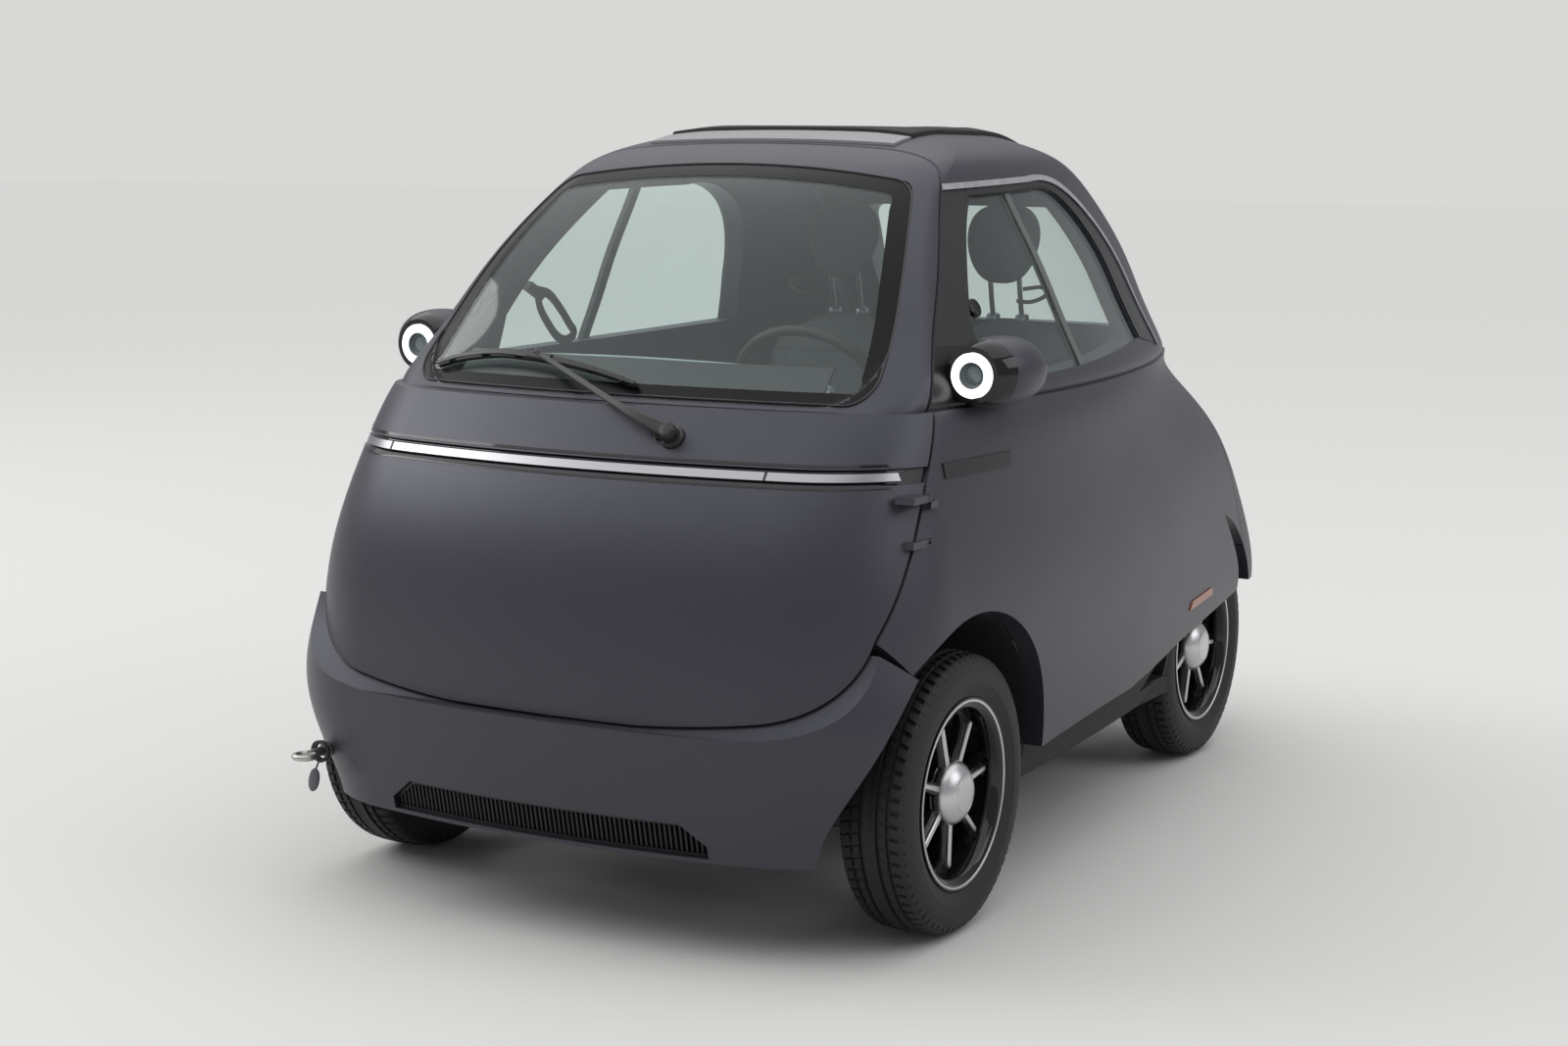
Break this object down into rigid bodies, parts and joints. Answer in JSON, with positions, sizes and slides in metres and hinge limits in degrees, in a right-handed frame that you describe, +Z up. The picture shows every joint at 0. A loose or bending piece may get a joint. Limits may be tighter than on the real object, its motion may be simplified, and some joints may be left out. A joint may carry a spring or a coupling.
{
  "type": "microcar",
  "caption": "Small rounded two-seat electric car with a front-opening door, lamp pods on the front pillars and a narrower rear track.",
  "frame": {"origin": "on the ground under the middle of the overall bounding box", "axes": "+X to the car's left, -Y towards its front, +Z up"},
  "size_m": [1.4522, 2.5177, 1.5041],
  "materials": {
    "body_paint": "satin graphite",
    "black_gloss": "gloss black",
    "dark_trim": "matte dark",
    "grey_trim": "satin light grey",
    "clear_glass": "tinted",
    "satin_chrome": "satin",
    "lamp_white": "lit ring",
    "lamp_clear": "clear",
    "lamp_red": "gloss",
    "marker_orange": "gloss",
    "mirror_face": "polished",
    "black_fabric": "coated cloth",
    "seat_fabric": "woven",
    "steel": "brushed",
    "cast_steel": "coated",
    "alloy": "satin",
    "tyre_rubber": "matte"
  },
  "bodies": {
    "body": {"body_shell": "body_paint", "tail_panel": "body_paint", "bumper_front": "body_paint", "grille_front": "dark_trim", "light_bar_rear": "lamp_red", "side_glass": "clear_glass", "window_dividers": "dark_trim", "side_rails": "satin_chrome", "side_strips": "dark_trim", "side_markers": "marker_orange", "fabric_roof": "black_fabric", "roof_header": "grey_trim", "pod_fronts": "black_gloss", "pod_backs": "body_paint", "lamp_rings": "lamp_white", "lamp_lenses": "lamp_clear", "mirror_glasses": "mirror_face", "pillar_patches": "black_gloss", "pillar_trims": "dark_trim", "tow_eye": "steel", "floor_pan": "dark_trim", "boot_tub": "dark_trim", "front_frame": "cast_steel", "arch_liners": "dark_trim", "rear_axle": "cast_steel", "motor_block": "cast_steel", "battery_block": "steel", "seat_base": "seat_fabric", "seat_back": "seat_fabric", "head_restraints": "seat_fabric", "restraint_posts": "steel", "steering_column": "dark_trim"},
    "door": {"door_shell": "body_paint", "strip_bezel_front": "dark_trim", "light_bar_front": "satin_chrome", "windscreen": "clear_glass", "door_shelf": "dark_trim", "wiper": "dark_trim"},
    "tailgate": {"tailgate": "body_paint", "rear_glass": "clear_glass"},
    "steering": {"steering_wheel": "dark_trim"},
    "knuckle_left": {"knuckle_left": "cast_steel"},
    "knuckle_right": {"knuckle_right": "cast_steel"},
    "wheel_front_left": {"tyre_front_left": "tyre_rubber", "rim_front_left": "black_gloss", "hub_front_left": "alloy"},
    "wheel_front_right": {"tyre_front_right": "tyre_rubber", "rim_front_right": "black_gloss", "hub_front_right": "alloy"},
    "wheel_rear_left": {"tyre_rear_left": "tyre_rubber", "rim_rear_left": "black_gloss", "hub_rear_left": "alloy"},
    "wheel_rear_right": {"tyre_rear_right": "tyre_rubber", "rim_rear_right": "black_gloss", "hub_rear_right": "alloy"}
  },
  "joints": [
    {"name": "door_hinge", "type": "hinge", "parent": "body", "child": "door", "pos_m": [0.642, -0.925, 0.7], "axis": [0, 0, 1], "range_deg": [0, 75]},
    {"name": "tailgate_hinge", "type": "hinge", "parent": "body", "child": "tailgate", "pos_m": [0, 0.532, 1.386], "axis": [1, 0, 0], "range_deg": [0, 70]},
    {"name": "steering_turn", "type": "hinge", "parent": "body", "child": "steering", "pos_m": [0.235, -0.6, 0.96], "axis": [0, 0.881, 0.4731], "range_deg": [-360, 360]},
    {"name": "steer_left", "type": "hinge", "parent": "body", "child": "knuckle_left", "pos_m": [0.505, -0.783, 0.268], "axis": [0, 0, 1], "range_deg": [-32, 32]},
    {"name": "steer_right", "type": "hinge", "parent": "body", "child": "knuckle_right", "pos_m": [-0.505, -0.783, 0.268], "axis": [0, 0, 1], "range_deg": [-32, 32]},
    {"name": "roll_front_left", "type": "hinge", "parent": "knuckle_left", "child": "wheel_front_left", "pos_m": [0.5955, -0.783, 0.268], "axis": [1, 0, 0], "continuous": true},
    {"name": "roll_front_right", "type": "hinge", "parent": "knuckle_right", "child": "wheel_front_right", "pos_m": [-0.5955, -0.783, 0.268], "axis": [1, 0, 0], "continuous": true},
    {"name": "roll_rear_left", "type": "hinge", "parent": "body", "child": "wheel_rear_left", "pos_m": [0.4725, 0.819, 0.268], "axis": [1, 0, 0], "continuous": true},
    {"name": "roll_rear_right", "type": "hinge", "parent": "body", "child": "wheel_rear_right", "pos_m": [-0.4725, 0.819, 0.268], "axis": [1, 0, 0], "continuous": true}
  ],
  "couplings": [
    {"joint": "steer_left", "follows": "steering_turn", "ratio": 0.08888},
    {"joint": "steer_right", "follows": "steering_turn", "ratio": 0.08888}
  ]
}
